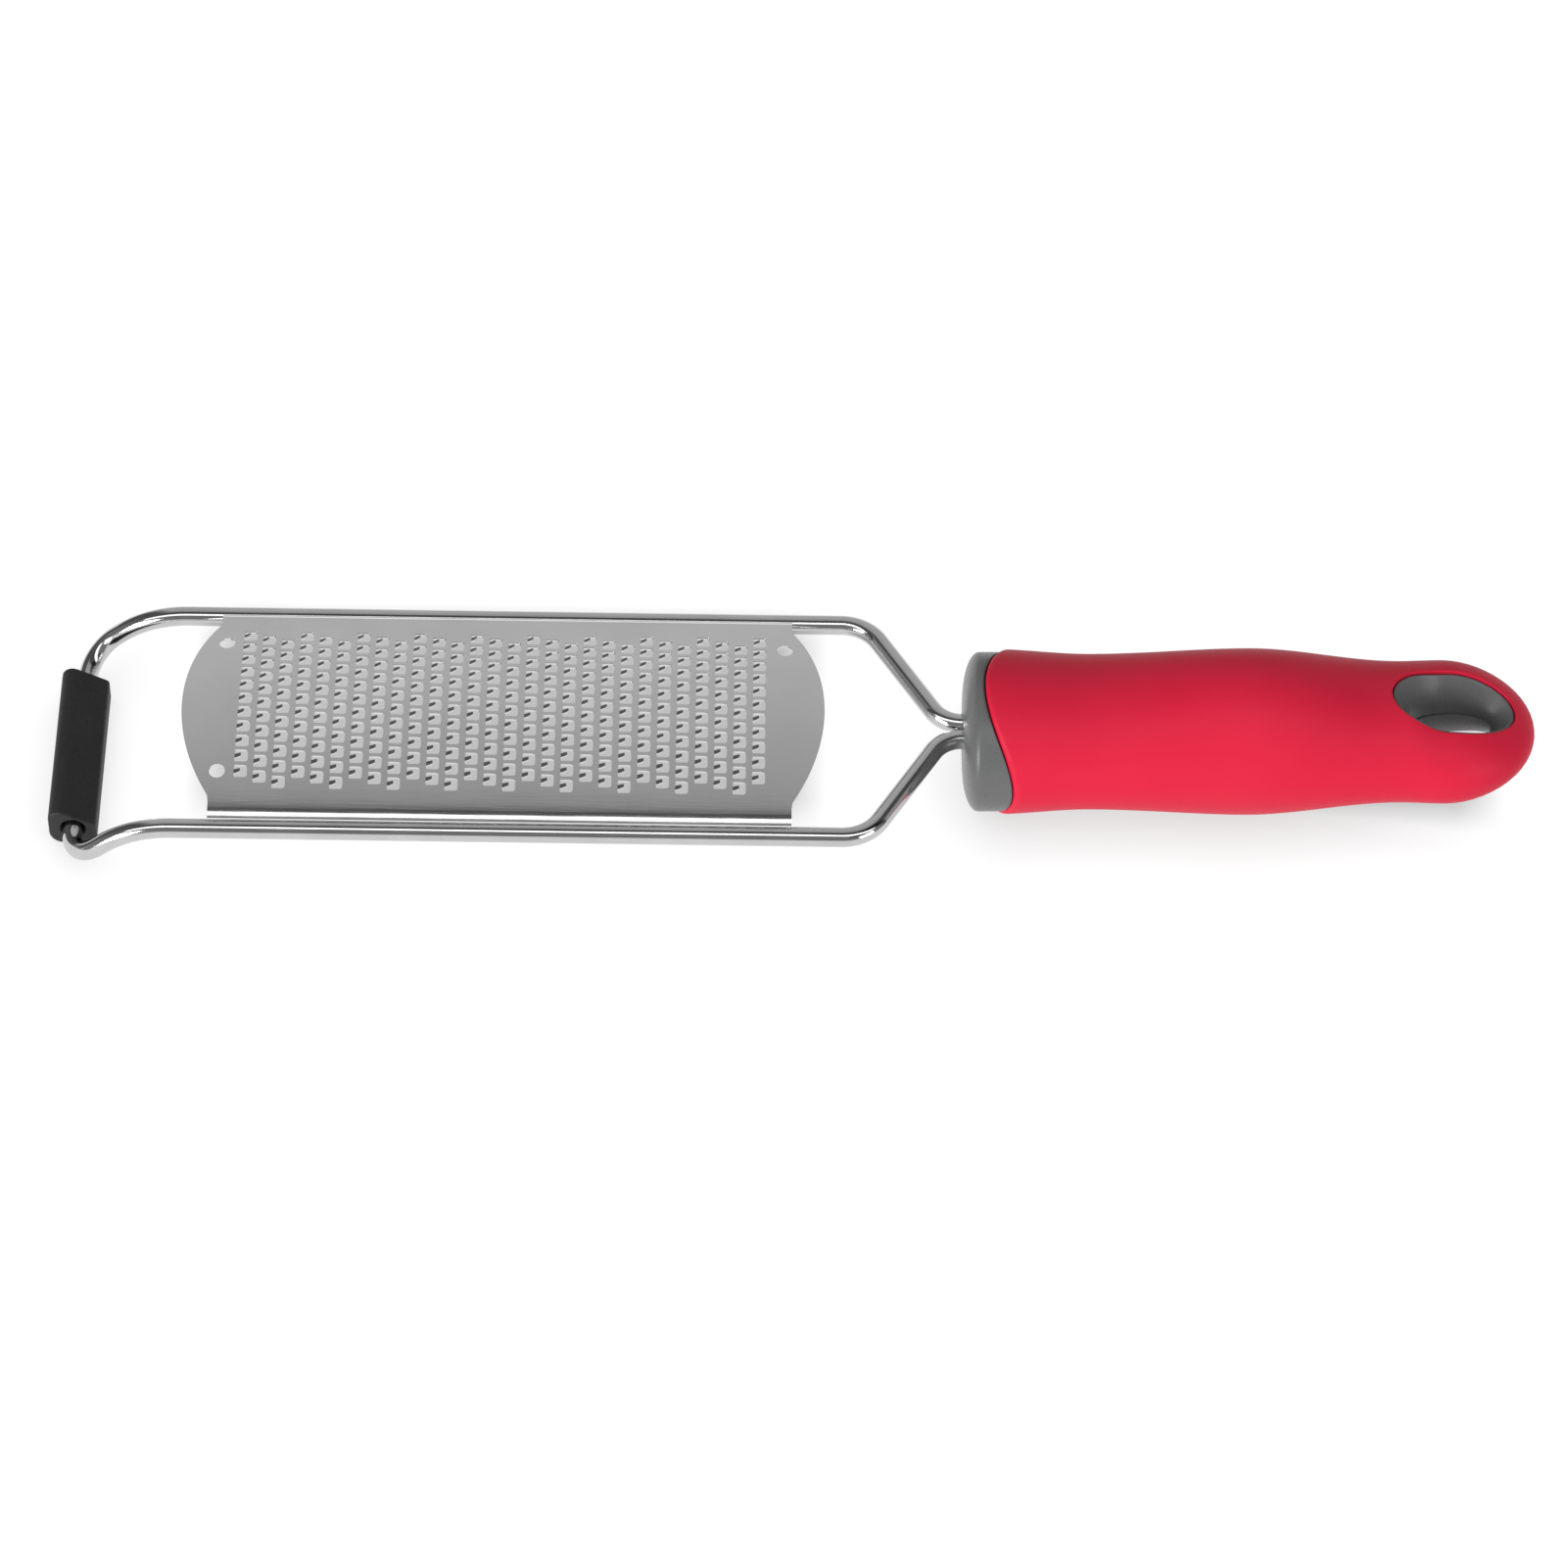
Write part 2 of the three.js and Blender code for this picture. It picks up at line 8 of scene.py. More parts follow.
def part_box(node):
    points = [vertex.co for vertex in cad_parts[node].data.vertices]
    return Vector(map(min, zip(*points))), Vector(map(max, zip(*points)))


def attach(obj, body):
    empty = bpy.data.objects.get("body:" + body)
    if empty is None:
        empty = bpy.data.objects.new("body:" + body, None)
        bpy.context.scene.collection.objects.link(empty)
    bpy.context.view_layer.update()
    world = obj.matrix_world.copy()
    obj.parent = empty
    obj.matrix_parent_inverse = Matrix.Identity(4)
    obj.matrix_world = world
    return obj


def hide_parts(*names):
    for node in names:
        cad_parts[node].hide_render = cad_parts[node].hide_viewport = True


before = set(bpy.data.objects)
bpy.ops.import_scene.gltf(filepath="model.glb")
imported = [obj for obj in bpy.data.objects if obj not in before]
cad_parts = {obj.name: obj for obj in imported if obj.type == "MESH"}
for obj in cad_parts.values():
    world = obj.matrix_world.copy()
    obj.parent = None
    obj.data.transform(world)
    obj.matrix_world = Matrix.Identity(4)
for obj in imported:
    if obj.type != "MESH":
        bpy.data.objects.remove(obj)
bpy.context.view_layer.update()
mm = 0.001  # the frame is in metres, the sizes below are in millimetres


# Helpers for surfaces
def nodeBox(node):
    low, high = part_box(node)
    return np.array(low) / mm, np.array(high) / mm


def gridFaces(rows, columns, closeRows=False, closeColumns=False):
    # quads of a grid stored row by row; a closed direction joins its last line to its first
    r = np.arange(rows if closeRows else rows - 1)[:, None]
    c = np.arange(columns if closeColumns else columns - 1)[None, :]
    rNext = (r + 1) % rows
    cNext = (c + 1) % columns
    quads = [r * columns + c, rNext * columns + c, rNext * columns + cNext, r * columns + cNext]
    return np.stack([q.ravel() for q in quads], axis=1)


def gridPatch(points, closeRows=False, closeColumns=False, flip=False):
    # points is rows x columns x coordinates
    quads = gridFaces(points.shape[0], points.shape[1], closeRows, closeColumns)
    return points.reshape(-1, points.shape[2]), quads[:, ::-1] if flip else quads


def joinPatches(patches):
    # patches are (points, quads); the quads are renumbered into one list
    starts = np.cumsum([0] + [len(points) for points, _ in patches[:-1]])
    points = np.concatenate([points for points, _ in patches])
    quads = np.concatenate([quads + start for (_, quads), start in zip(patches, starts)])
    return points, quads


def weld(points, quads, digits=3):
    # points that agree to so many decimals of a millimetre become one
    _, first, inverse = np.unique(np.round(points, digits), axis=0, return_index=True, return_inverse=True)
    return points[first], inverse.ravel()[quads]


def openEdges(quads):
    # edges that only one quad has, in that quad's direction
    edges = np.stack([quads, np.roll(quads, -1, axis=1)], axis=2).reshape(-1, 2)
    edges = edges[edges[:, 0] != edges[:, 1]]
    _, inverse, counts = np.unique(np.sort(edges, axis=1), axis=0, return_inverse=True, return_counts=True)
    return edges[counts[inverse.ravel()] == 1]


def smoothStep(u):
    # cubic from 0 to 1, level at both ends
    u = np.clip(u, 0, 1)
    return u * u * (3 - 2 * u)


def quarterTurn(steps):
    # angles from 0 to a quarter turn
    return np.linspace(0, math.pi / 2, steps + 1)


def fullTurn(steps):
    # angles round a full turn, without the last, which is the first again
    return np.linspace(0, 2 * math.pi, steps, endpoint=False)


def unit(vectors):
    # each vector at length 1
    return vectors / np.linalg.norm(vectors, axis=-1, keepdims=True)


def roundedCorner(before, at, after, bend, count):
    # arc of radius bend that touches both legs of a corner
    toBefore = unit(before - at)
    toAfter = unit(after - at)
    halfTurn = (math.pi - math.acos(np.dot(toBefore, toAfter))) / 2
    middle = unit(toBefore + toAfter)
    across = unit(toAfter - toBefore)
    centre = at + middle * bend / math.cos(halfTurn)
    a = np.linspace(-halfTurn, halfTurn, count)[:, None]
    return centre - bend * np.cos(a) * middle + bend * np.sin(a) * across


# Helpers for materials
def fillInputs(tree, node, inputs):
    # inputs by name or number, each another node's socket or a plain value
    for name, value in inputs.items():
        if isinstance(value, bpy.types.NodeSocket):
            tree.links.new(value, node.inputs[name])
        else:
            node.inputs[name].default_value = value


def addNode(tree, kind, inputs=None, **settings):
    # the settings come first, because they decide which inputs the node has
    node = tree.nodes.new(kind)
    for name, value in settings.items():
        setattr(node, name, value)
    fillInputs(tree, node, inputs or {})
    return node


def combine(tree, operation, *values):
    # one step of arithmetic on sockets or numbers
    return addNode(tree, "ShaderNodeMath", dict(enumerate(values)), operation=operation).outputs[0]


def remap(tree, value, span, result=(0, 1)):
    # a value carried from one span to another and held inside it
    node = addNode(tree, "ShaderNodeMapRange", {
        "Value": value, "From Min": span[0], "From Max": span[1], "To Min": result[0], "To Max": result[1],
    })
    return node.outputs["Result"]


def mixColors(tree, share, first, second):
    # share 0 gives the first colour, share 1 the second
    node = addNode(tree, "ShaderNodeMix", {"Factor": share, "A": first, "B": second}, data_type="RGBA")
    return node.outputs["Result"]


def newMaterial(name):
    material = bpy.data.materials.new(name)
    material.use_nodes = True
    tree = material.node_tree
    return material, tree, tree.nodes["Principled BSDF"]


grain = {
    "fineDetail": 3, "fineRoughness": 0.6, "slowDetail": 4, "slowRoughness": 0.55,
    "span": (0.3, 0.7),  # where nearly all of a noise's values lie
}


def grainGroup():
    # fine grain: noise on stretched object coordinates, as a value about 0.5, and a slow mottle beside it
    group = bpy.data.node_groups.new("surfaceGrain", "ShaderNodeTree")
    group.interface.new_socket("Stretch", in_out="INPUT", socket_type="NodeSocketVector")
    for name in ("Grain Scale", "Mottle Scale"):
        group.interface.new_socket(name, in_out="INPUT", socket_type="NodeSocketFloat")
    for name in ("Grain", "Mottle"):
        group.interface.new_socket(name, in_out="OUTPUT", socket_type="NodeSocketFloat")
    given = addNode(group, "NodeGroupInput").outputs
    place = addNode(group, "ShaderNodeTexCoord").outputs["Object"]
    stretched = addNode(group, "ShaderNodeVectorMath", {0: place, 1: given["Stretch"]}, operation="MULTIPLY")
    fine = addNode(group, "ShaderNodeTexNoise", {
        "Vector": stretched.outputs[0], "Scale": given["Grain Scale"],
        "Detail": grain["fineDetail"], "Roughness": grain["fineRoughness"],
    })
    slow = addNode(group, "ShaderNodeTexNoise", {
        "Vector": place, "Scale": given["Mottle Scale"],
        "Detail": grain["slowDetail"], "Roughness": grain["slowRoughness"],
    })
    addNode(group, "NodeGroupOutput", {"Grain": fine.outputs["Fac"], "Mottle": slow.outputs["Fac"]})
    return group


surfaceGrain = grainGroup()


def surfaceMaterial(look):
    # a finish whose colour, roughness and height follow the shared grain; its bump is a strength and metres
    material, tree, shader = newMaterial(look["finish"])
    noise = addNode(tree, "ShaderNodeGroup", {
        "Stretch": look["stretch"], "Grain Scale": look["grainScale"], "Mottle Scale": look["mottleScale"],
    }, node_tree=surfaceGrain).outputs
    dark, light = look["colors"]
    strength, distance = look["bump"]
    bump = addNode(tree, "ShaderNodeBump", {
        "Strength": strength, "Distance": distance, "Height": noise["Grain"],
    })
    mottle = remap(tree, noise["Mottle"], grain["span"])
    fillInputs(tree, shader, {
        "Base Color": mixColors(tree, mottle, (*dark, 1), (*light, 1)),
        "Roughness": remap(tree, noise[look["roughnessFrom"]], grain["span"], look["roughness"]),
        "Metallic": look["metallic"], "Specular IOR Level": look["shine"], "Normal": bump.outputs["Normal"],
    })
    return material


def makePiece(name, node, points, quads, look):
    # quads with a repeated corner are written as triangles
    faces = [list(dict.fromkeys(q)) for q in quads.tolist()]
    faces = [f for f in faces if len(f) > 2]
    mesh = bpy.data.meshes.new(name)
    mesh.from_pydata((points * mm).tolist(), [], faces)
    mesh.validate()
    mesh.materials.append(surfaceMaterial(look))
    mesh.shade_smooth()
    mesh.set_sharp_from_angle(angle=math.radians(look["sharpAngle"]))
    piece = bpy.data.objects.new(name, mesh)
    bpy.context.scene.collection.objects.link(piece)
    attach(piece, "root")
    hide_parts(node)
    print("piece", name, len(points), "points", len(faces), "faces", len(openEdges(quads)), "open edges")


# Places taken from the frame
plateLow, plateHigh = nodeBox("grating_plate")
footLow, footHigh = nodeBox("tip_foot")
handleFront = nodeBox("handle_core")[0][0]
handleTail = nodeBox("handle_grip")[1][0]
handleLength = handleTail - handleFront
plateMiddle = (plateLow[0] + plateHigh[0]) / 2
railZ = plateLow[2]


# Grating plate: satin rolled sheet, its grain running along the plate
plate = {
    "sheetThickness": 0.4, "plateLength": 116.2, "plateEndBow": 6.5, "cornerStep": 2.3,
    "archRadius": 105, "rollRadius": 4.7, "rollTurn": 42, "seatShift": -0.45,
    "rowCount": 11, "columnCount": 28, "columnPitch": 3.83, "rowPitch": 3.635, "stagger": 3,
    "toothMargin": 5.75,
    "openingLength": 2.55, "openingWidth": 2.75, "openingRound": 0.55, "openingShift": -0.27,
    "openingSplits": (0.2, -0.45),  # two points on each straight side, in half lengths
    "legCut": 0.12, "rimDrop": 0.15, "rimShare": 0.1,  # share of the way from the opening to the cell's edge
    "tongueLength": 1.3, "tongueWidth": 0.95, "tongueRise": 0.55, "tongueTaper": 0.12,
    "tipTaper": 0.1, "tipPower": 6, "tipBow": 0.06, "risePower": 1.2,
    "pilotHole": 3.2, "pilotInset": 1.5, "pilotReach": 17, "pilotShare": 0.35,
    "edgeStrip": 0.3,  # least strip that is left along the rounded ends
    # counts of quads
    "cellSteps": 4, "thirdSteps": 2, "roundSteps": 3, "tongueSteps": 3, "pilotSteps": 4, "zoneSteps": 8,
    "edgeSteps": 3, "farSteps": 4, "nearSteps": 3, "rollSteps": 8,
    "finish": "plateSteel", "colors": ((0.635, 0.635, 0.64), (0.685, 0.685, 0.69)),
    "metallic": 1, "shine": 0.5, "roughness": (0.11, 0.19), "roughnessFrom": "Grain",
    "stretch": (0.04, 1, 1), "grainScale": 2600, "mottleScale": 60, "bump": (0.06, 0.0001), "sharpAngle": 35,
}
plateCrown = plateHigh[2] - plate["tongueRise"]
rowThird = plate["rowPitch"] / plate["stagger"]
toothBlock = plate["rowPitch"] * (plate["rowCount"] - 1 / plate["stagger"])
plateHalfArc = toothBlock / 2 + plate["toothMargin"]
fieldHalf = plate["columnCount"] * plate["columnPitch"] / 2
pilotX = plate["plateLength"] / 2 - plate["pilotInset"]

# lines along the plate: evenly through the field of teeth, then the margins out to the ends of the arch
topLine = toothBlock / 2 + plate["rowPitch"] / 2
lastLine = topLine - (plate["rowCount"] + 1 - 1 / plate["stagger"]) * plate["rowPitch"]
lineCount = int(round((topLine - lastLine) / rowThird * plate["thirdSteps"])) + 1
fieldLines = topLine - np.arange(lineCount) * rowThird / plate["thirdSteps"]
farLines = topLine + (plateHalfArc - topLine) * np.arange(1, plate["farSteps"] + 1) / plate["farSteps"]
nearLines = lastLine - (plateHalfArc + lastLine) * np.arange(1, plate["nearSteps"] + 1) / plate["nearSteps"]
zoneLines = np.concatenate([farLines[::-1], fieldLines, nearLines])


def foldSheet(flat, depth):
    # flat pattern (along x, across s) carried round the arch and down the tighter roll at each rail
    # depth is measured below the outer face
    x, s = flat.T
    side = np.where(s < 0, -1, 1)
    across = np.abs(s)
    arch = plate["archRadius"]
    roll = plate["rollRadius"]
    archAngle = plateHalfArc / arch
    rollY = (arch - roll) * math.sin(archAngle)
    rollZ = plateCrown - arch + (arch - roll) * math.cos(archAngle)
    a = np.minimum(across, plateHalfArc) / arch
    b = archAngle + np.maximum(across - plateHalfArc, 0) / roll
    onArch = across <= plateHalfArc
    y = np.where(onArch, (arch - depth) * np.sin(a), rollY + (roll - depth) * np.sin(b))
    z = np.where(onArch, plateCrown - arch + (arch - depth) * np.cos(a), rollZ + (roll - depth) * np.cos(b))
    return np.stack([x + plateMiddle, side * y + plate["seatShift"], z], axis=1)


def raised(points):
    # flat points with no rise
    return np.concatenate([points, np.zeros((*points.shape[:-1], 1))], axis=-1)


def flatGrid(xs, lines, flip=False):
    # patch of the flat pattern, over places along it and lines across it
    return gridPatch(raised(np.stack(np.meshgrid(xs, lines), axis=2)), flip=flip)


def openingRing():
    # quads from the opening, rounded at its right end, out to the edge of the cell; the rim dips a little
    w, h, r = plate["openingLength"] / 2, plate["openingWidth"] / 2, plate["openingRound"]
    cellX, cellS = plate["columnPitch"] / 2, plate["rowPitch"] / 2
    tongue = plate["tongueWidth"] / 2
    turn = quarterTurn(plate["roundSteps"])
    corner = np.stack([w - r + r * np.cos(turn), h - r + r * np.sin(turn)], axis=1)
    right = np.concatenate([(corner * (1, -1))[::-1], [[w, 0]], corner])
    legs = np.array([h, (h + tongue) / 2, tongue, 0, -tongue, -(h + tongue) / 2, -h])
    left = np.stack([np.full(legs.shape, -w), legs], axis=1)
    left[[0, -1], 0] += plate["legCut"]
    top = np.array([[w * share, h] for share in plate["openingSplits"]])
    inner = np.concatenate([right, top, left, (top * (1, -1))[::-1]])
    inner[:, 0] += plate["openingShift"]
    side = np.linspace(-cellS, cellS, len(legs))
    outer = np.concatenate([
        [[cellX / 2, -cellS]], np.stack([np.full(side.shape, cellX), side], axis=1), [[cellX / 2, cellS]],
        [[0, cellS], [-cellX / 2, cellS]], np.stack([np.full(side.shape, -cellX), side[::-1]], axis=1),
        [[-cellX / 2, -cellS], [0, -cellS]],
    ])
    steps = np.array([0, plate["rimShare"], 1])[:, None, None]
    ring = raised(inner + (outer - inner) * steps)
    ring[0, :, 2] = -plate["rimDrop"]
    return gridPatch(ring, closeColumns=True, flip=True)


def raisedTongue():
    # u runs out along the tongue and v across it: it narrows with u, its tip is bowed by v squared,
    # and it climbs from the dipped rim by a power of u
    u, v = np.meshgrid(np.linspace(0, 1, plate["tongueSteps"] + 1), (-1, 0, 1), indexing="ij")
    narrow = 1 - plate["tongueTaper"] * u - plate["tipTaper"] * u ** plate["tipPower"]
    reach = plate["tongueLength"] * (1 - plate["tipBow"] * u * v**2)
    rise = (plate["tongueRise"] + plate["rimDrop"]) * u ** plate["risePower"] - plate["rimDrop"]
    root = plate["openingShift"] - plate["openingLength"] / 2
    tongue = np.stack([root + u * reach, v * plate["tongueWidth"] / 2 * narrow, rise], axis=2)
    return gridPatch(tongue, flip=True)


def columnMiddle(column):
    # the columns are centred on the plate
    return (column - (plate["columnCount"] - 1) / 2) * plate["columnPitch"]


def toothField():
    # one tooth to a cell, neighbouring columns stepped by a third of the row pitch
    column, row = np.meshgrid(np.arange(plate["columnCount"]), np.arange(plate["rowCount"]), indexing="ij")
    centres = np.stack([
        columnMiddle(column),
        toothBlock / 2 - row * plate["rowPitch"] - (column % plate["stagger"]) * rowThird,
        np.zeros(column.shape),
    ], axis=2).reshape(-1, 1, 3)
    points, quads = joinPatches([openingRing(), raisedTongue()])
    shifts = (np.arange(len(centres)) * len(points))[:, None, None]
    return (centres + points).reshape(-1, 3), (shifts + quads).reshape(-1, 4)


def blankStrips():
    # plain strips that even out the stepped columns, before their first tooth and after their last
    halfPitch = plate["columnPitch"] / 2
    patches = []
    for column in range(plate["columnCount"]):
        xs = columnMiddle(column) + np.linspace(-halfPitch, halfPitch, plate["cellSteps"] + 1)
        before = column % plate["stagger"]
        after = plate["stagger"] - 1 - before
        for start, thirds in ((topLine, before), (lastLine + after * rowThird, after)):
            if thirds:
                lines = start - np.arange(plate["thirdSteps"] * thirds + 1) * rowThird / plate["thirdSteps"]
                patches.append(flatGrid(xs, lines))
    return patches


def endZone():
    # x of each line's points at an end: even steps past the pilot holes, then on to the edge, a circle's arc
    bow = plate["plateEndBow"]
    bowHalf = plateHalfArc - plate["cornerStep"]
    bowRadius = (bowHalf**2 + bow**2) / (2 * bow)
    sag = bowRadius - np.sqrt(bowRadius**2 - np.minimum(np.abs(zoneLines), bowHalf) ** 2)
    edge = (plate["plateLength"] / 2 + bow - sag)[:, None]
    knee = np.minimum(2 * pilotX - fieldHalf, edge - plate["edgeStrip"])
    near = fieldHalf + (knee - fieldHalf) * np.linspace(0, 1, plate["zoneSteps"] + 1)
    far = knee + (edge - knee) * np.linspace(0, 1, plate["edgeSteps"] + 1)
    return np.concatenate([near, far[:, 1:]], axis=1)


def pilotRing(block, centre):
    # ring of quads from a round hole out to the edge of a block of the grid
    loop = np.concatenate([block[0, :-1], block[:-1, -1], block[-1, :0:-1], block[:0:-1, 0]])
    circle = centre + plate["pilotHole"] / 2 * unit(loop - centre)
    steps = np.array([0, plate["pilotShare"], 1])[:, None, None]
    return circle + (loop - circle) * steps


def endZones(zone):
    # plain ends with a block kept free round each pilot hole: two at the tip end, one at the handle end
    steps, half, reach = plate["zoneSteps"], plate["pilotSteps"], plate["pilotReach"]
    patches = []
    for end, holes in ((-1, (reach, -reach)), (1, (reach,))):
        flat = np.stack([end * zone, np.repeat(zoneLines[:, None], zone.shape[1], axis=1)], axis=2)
        keep = np.ones((zone.shape[0] - 1, zone.shape[1] - 1), bool)
        for across in holes:
            middle = int(np.argmin(np.abs(zoneLines - across)))
            keep[middle - half:middle + half, :steps] = False
            block = flat[middle - half:middle + half + 1, :steps + 1]
            ring = pilotRing(block, np.array([end * pilotX, across]))
            patches.append(gridPatch(raised(ring), closeColumns=True, flip=end < 0))
        quads = gridFaces(*zone.shape)[keep.ravel()]
        patches.append((raised(flat).reshape(-1, 3), quads if end > 0 else quads[:, ::-1]))
    return patches


def railEdges(zone):
    # margins between the teeth and the ends of the arch, and the rolled edges beyond them
    body = np.linspace(-fieldHalf, fieldHalf, plate["cellSteps"] * plate["columnCount"] + 1)
    whole = np.concatenate([-zone[0][::-1], body[1:-1], zone[0]])
    rollTurn = math.radians(plate["rollTurn"]) - plateHalfArc / plate["archRadius"]
    rollEnd = plateHalfArc + plate["rollRadius"] * rollTurn
    roll = np.linspace(plateHalfArc, rollEnd, plate["rollSteps"] + 1)
    patches = []
    for side, start, margin in ((1, topLine, farLines), (-1, lastLine, nearLines)):
        patches.append(flatGrid(body, np.concatenate([[start], margin]), flip=side > 0))
        patches.append(flatGrid(whole, side * roll, flip=side > 0))
    return patches


def gratingPlate():
    # the flat pattern is folded at its outer and at its inner face, and walls close its open edges
    zone = endZone()
    points, quads = weld(*joinPatches([toothField(), *blankStrips(), *endZones(zone), *railEdges(zone)]))
    outer = foldSheet(points[:, :2], -points[:, 2])
    inner = foldSheet(points[:, :2], plate["sheetThickness"] - points[:, 2])
    edges = openEdges(quads)
    count = len(points)
    walls = np.stack([edges[:, 1], edges[:, 0], edges[:, 0] + count, edges[:, 1] + count], axis=1)
    quads = np.concatenate([quads, quads[:, ::-1] + count, walls])
    points = np.concatenate([outer, inner])
    makePiece("gratingPlate", "grating_plate", points, quads, plate)


# Tip foot: moulded rubber bar on the crossbar
foot = {
    "front": 4.9, "back": 4.6, "rise": 6.3, "backRise": 0.9, "sole": 4.7, "topRound": 2.2, "backRound": 1.0,
    "soleRound": 3.0, "endRound": 0.5, "recess": 1.2, "recessDiameter": 5.3, "bore": 4.5, "faceSplit": 0.6,
    "arcPoints": 6, "straightSteps": 5, "endSteps": 5,
    "finish": "blackRubber", "colors": ((0.008, 0.008, 0.008), (0.012, 0.012, 0.012)),
    "metallic": 0, "shine": 0.5, "roughness": (0.55, 0.75), "roughnessFrom": "Grain",
    "stretch": (1, 1, 1), "grainScale": 2200, "mottleScale": 150, "bump": (0.25, 0.0002), "sharpAngle": 35,
}


def roundedOutline(corners, rounds):
    # closed outline in a plane: arcs at the corners, joined by straights
    around = zip(np.roll(corners, 1, axis=0), corners, np.roll(corners, -1, axis=0), rounds)
    arcs = [roundedCorner(*corner, foot["arcPoints"]) for corner in around]
    pieces = []
    for arc, following in zip(arcs, arcs[1:] + arcs[:1]):
        pieces += [arc, np.linspace(arc[-1], following[0], foot["straightSteps"] + 1)[1:-1]]
    return np.concatenate(pieces)


def tipFoot():
    # a rounded section runs out along the bar, round its end, into the funnel and back through the bore
    half = footHigh[1]
    corners = np.array([
        [-foot["front"], -foot["sole"]], [foot["back"], -foot["sole"]],
        [foot["back"], foot["backRise"]], [-foot["front"], foot["rise"]],
    ])
    outline = roundedOutline(corners, [foot[k] for k in ("soleRound", "backRound", "backRound", "topRound")])
    tangent = unit(np.roll(outline, -1, axis=0) - np.roll(outline, 1, axis=0))
    inward = np.stack([-tangent[:, 1], tangent[:, 0]], axis=1)
    spoke = unit(outline)
    r = foot["endRound"]
    ends = [
        (half - r + r * math.sin(a), outline + inward * r * (1 - math.cos(a)))
        for a in quarterTurn(foot["endSteps"])
    ]
    funnel = spoke * foot["recessDiameter"] / 2
    face = funnel + foot["faceSplit"] * (ends[-1][1] - funnel)
    ends += [(half, face), (half, funnel), (half - foot["recess"], spoke * foot["bore"] / 2)]
    stations = [(-y, ring) for y, ring in ends[::-1]] + ends
    middle = footLow[0] + foot["front"]
    rings = np.stack([
        np.stack([middle + ring[:, 0], np.full(len(ring), y), foot["sole"] + ring[:, 1]], axis=1)
        for y, ring in stations
    ])
    points, quads = gridPatch(rings, closeRows=True, closeColumns=True)
    makePiece("tipFoot", "tip_foot", points, quads, foot)


# Frame rod: one bent, chromed rod
rod = {
    "diameter": 3.98, "seatGap": 0.25, "legRun": 13.1, "legBend": 21, "footBend": 7.6, "shoulderBend": 9,
    "neckBend": 7, "neckStub": 4, "splayRun": 15.4, "tangLength": 60, "sides": 56, "bendPoints": 32,
    "endShare": 0.8,  # of the radius is left at the cut ends
    "finish": "chromedRod", "colors": ((0.53, 0.53, 0.535), (0.59, 0.59, 0.595)),
    "metallic": 1, "shine": 0.5, "roughness": (0.06, 0.13), "roughnessFrom": "Mottle",
    "stretch": (1, 1, 1), "grainScale": 2400, "mottleScale": 120, "bump": (0.03, 0.0001), "sharpAngle": 50,
}


def rodPath():
    # tang, neck, shoulder, rail and leg of one side, then the same mirrored, with an arc at each corner
    crossbar = footLow[0] + foot["front"]
    radius = rod["diameter"] / 2
    railY = plateHigh[1] + rod["seatGap"] + radius
    tangY = radius + rod["seatGap"] / 2
    neck = handleFront - rod["neckStub"]
    half = np.array([
        [handleFront + rod["tangLength"], tangY, railZ], [neck, tangY, railZ],
        [neck - rod["splayRun"], railY, railZ], [crossbar + rod["legRun"], railY, railZ],
        [crossbar, railY, foot["sole"]],
    ])
    corners = np.concatenate([half, half[::-1] * (1, -1, 1)])
    bends = [rod[k] for k in ("neckBend", "shoulderBend", "legBend", "footBend")]
    around = zip(corners, corners[1:], corners[2:], bends + bends[::-1])
    arcs = [roundedCorner(*corner, rod["bendPoints"]) for corner in around]
    return np.concatenate([corners[:1], *arcs, corners[-1:]])


def frameRod():
    # circle carried along the path; its first spoke stays level, because the rod never stands upright
    path = rodPath()
    ahead = unit(np.gradient(path, axis=0))
    level = unit(np.cross([0, 0, 1], ahead))
    over = np.cross(ahead, level)
    a = fullTurn(rod["sides"])
    spokes = np.cos(a)[None, :, None] * level[:, None] + np.sin(a)[None, :, None] * over[:, None]
    # each end is drawn in a little and closed to a point
    tip = [0, rod["endShare"]]
    sizes = rod["diameter"] / 2 * np.concatenate([tip, np.ones(len(path) - 2), tip[::-1]])
    path = np.concatenate([path[:1], path, path[-1:]])
    spokes = np.concatenate([spokes[:1], spokes, spokes[-1:]])
    rings = path[:, None] + sizes[:, None, None] * spokes
    points, quads = weld(*gridPatch(rings, closeColumns=True, flip=True))
    makePiece("frameRod", "frame_rod", points, quads, rod)


# Handle: the shape that the grip and the core share
handle = {
    "rise": 2.5,  # climb of the axis from the front to the tail
    # sections at shares of the length; square is the oval's power, 2 for an ellipse
    "at": (0, 0.05, 0.22, 0.5, 0.765, 0.84, 1),
    "width": (35.6, 35.6, 33.6, 33.3, 31.2, 32.8, 32.8),
    "height": (30.2, 30.2, 28.2, 34.16, 23.3, 19.6, 15.4),
    "square": (2, 2, 2, 2, 2.1, 2.3, 2.3),
    "tailLength": 18.5, "gripThickness": 2.4, "skinGap": 0.3, "collarLength": 4.1, "collarSweep": 6.6,
    "holeLength": 25.3, "holeWidth": 16.4, "holeFromEnd": 16.95, "holeShift": 0.45, "holeRound": 0.45,
    "sharpRim": 0.01, "lipRound": 0.9, "ringRoom": 5,  # room between the straight rows and the hole
    "columns": 40, "rows": 56, "sideSteps": 8, "tailSteps": 14, "rimSteps": 7, "ringSteps": 14,
    "lipSteps": 6,
    "sweepRounds": 4,  # rounds that settle the points on the swept front edge
}
holeX = handleTail - handle["holeFromEnd"]
holeHalf = np.array([handle["holeLength"], handle["holeWidth"]]) / 2


